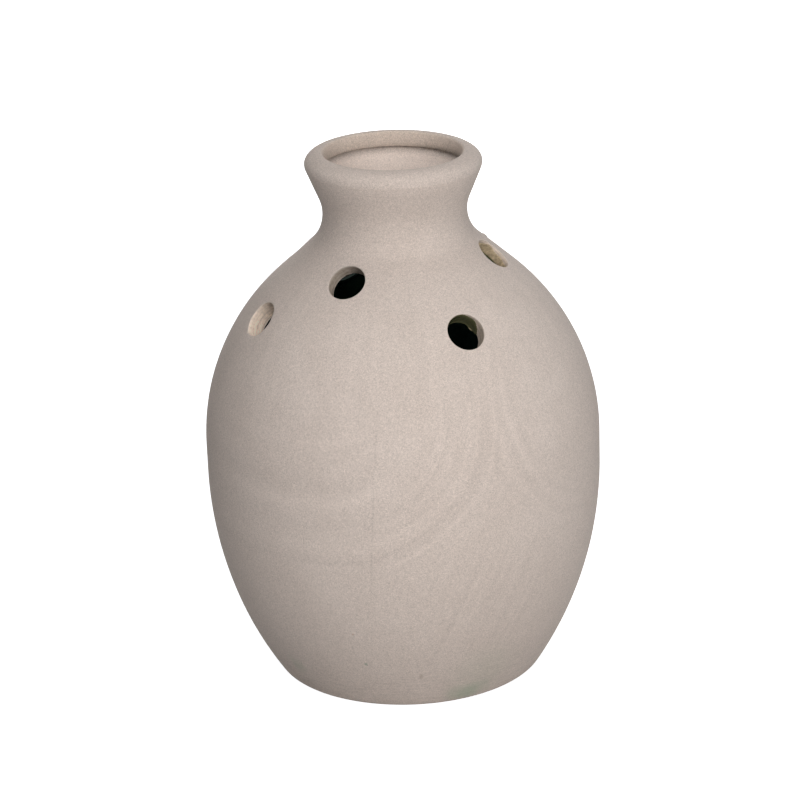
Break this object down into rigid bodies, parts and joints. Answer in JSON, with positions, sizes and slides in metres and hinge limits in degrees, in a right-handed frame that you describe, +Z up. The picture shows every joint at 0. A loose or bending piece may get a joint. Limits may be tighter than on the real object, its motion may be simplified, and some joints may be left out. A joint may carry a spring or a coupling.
{
  "type": "ceramic vase",
  "caption": "Bulbous free-standing stoneware vase with a flared collar, stem holes round its shoulder and a glazed inside for water and cut flowers.",
  "frame": {"origin": "centre of the flat foot, on the surface the vase stands on", "axes": "+Z up along the vase's axis of turning; -Y towards the side that the picture shows, +X to its right"},
  "size_m": [0.185, 0.185, 0.25],
  "materials": {
    "bisque": "unglazed, fine sandy matt",
    "green_glaze": "glossy dark green"
  },
  "bodies": {
    "root": {"foot_base": "bisque", "belly_wall": "bisque", "shoulder_wall": "bisque", "neck_collar": "bisque", "interior_glaze": "green_glaze"}
  },
  "joints": []
}
